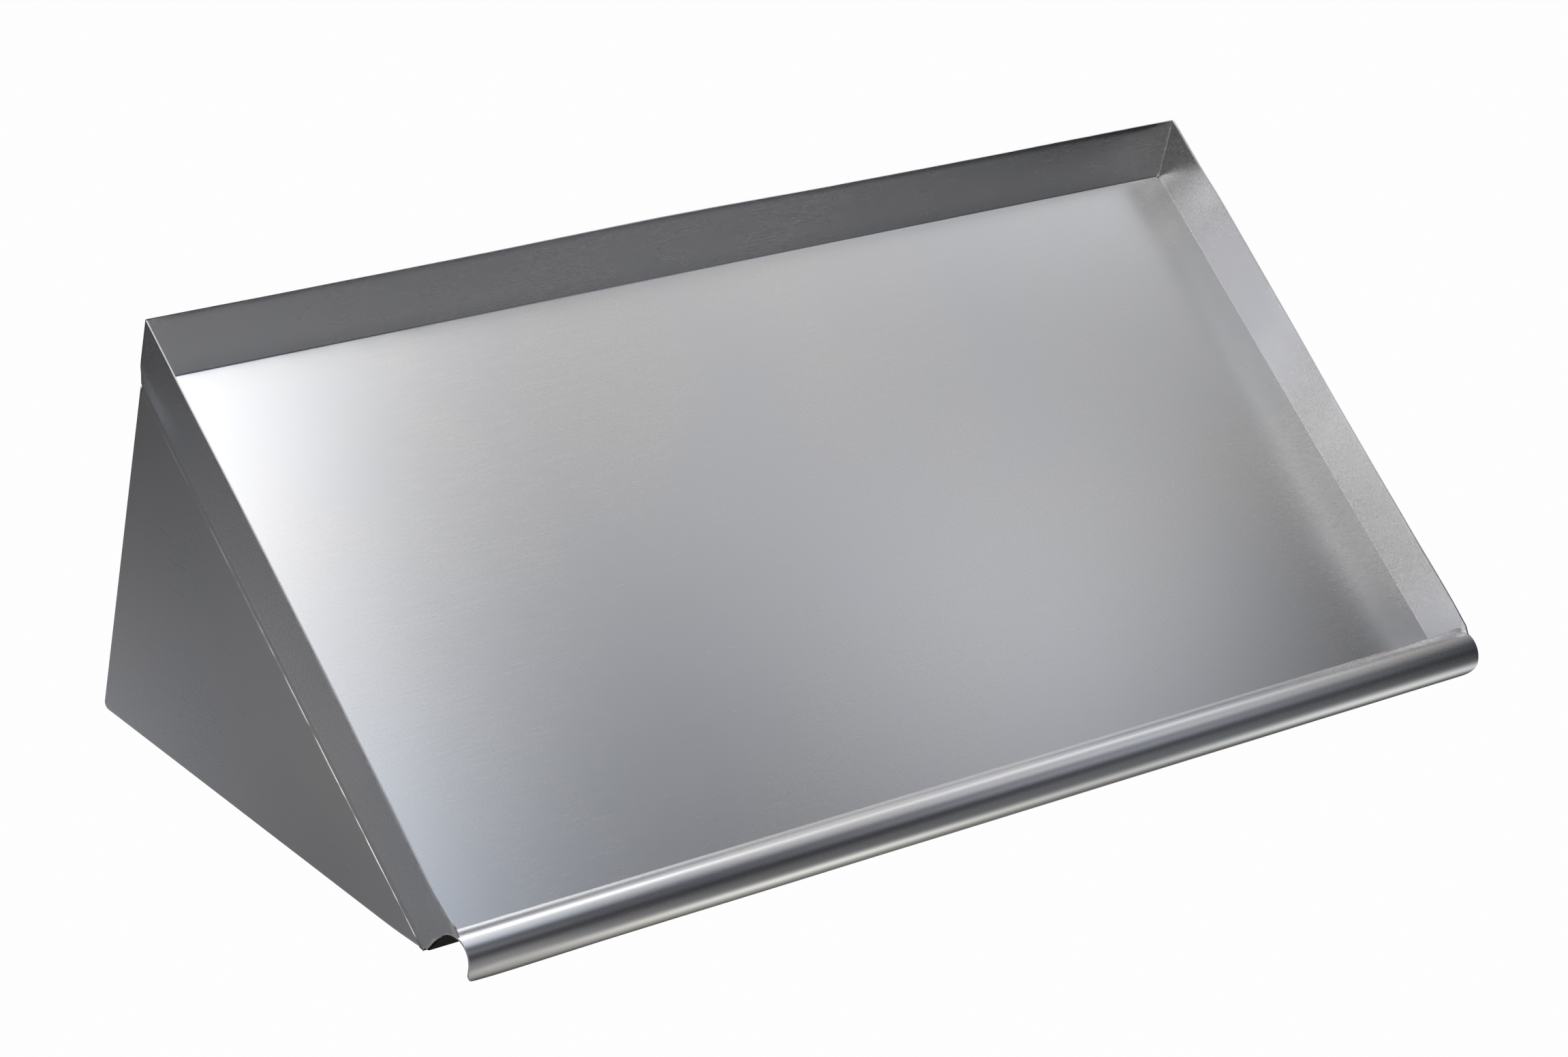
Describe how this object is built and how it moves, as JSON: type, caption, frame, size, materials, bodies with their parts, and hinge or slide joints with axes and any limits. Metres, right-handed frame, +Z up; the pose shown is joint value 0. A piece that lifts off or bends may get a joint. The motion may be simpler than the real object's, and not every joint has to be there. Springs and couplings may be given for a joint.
{
  "type": "slanted wall shelf",
  "caption": "Welded stainless sheet shelf: a shallow tray with a sloping floor, upturned back and sides, a rolled front rim and triangular end brackets for a wall.",
  "frame": {"origin": "centre of the footprint on the plane the bracket feet stand on; the wall plane is the rear flanges' outer face at +Y", "axes": "+X along the width, +Y towards the wall, +Z up; the floor falls towards -Y"},
  "size_m": [1.0668, 0.4412, 0.3206],
  "materials": {
    "satin_sheet": "satin mill finish with a fine grain along the width",
    "bracket_sheet": "satin mill finish with a fine vertical grain",
    "weld_metal": "ground weld, brighter than the sheet"
  },
  "bodies": {
    "root": {"tray_pan": "satin_sheet", "left_bracket": "bracket_sheet", "right_bracket": "bracket_sheet", "left_seam_weld": "weld_metal", "right_seam_weld": "weld_metal", "back_left_corner_weld": "weld_metal", "back_right_corner_weld": "weld_metal", "front_left_corner_weld": "weld_metal", "front_right_corner_weld": "weld_metal", "left_stitch_welds": "weld_metal", "right_stitch_welds": "weld_metal"}
  },
  "joints": []
}
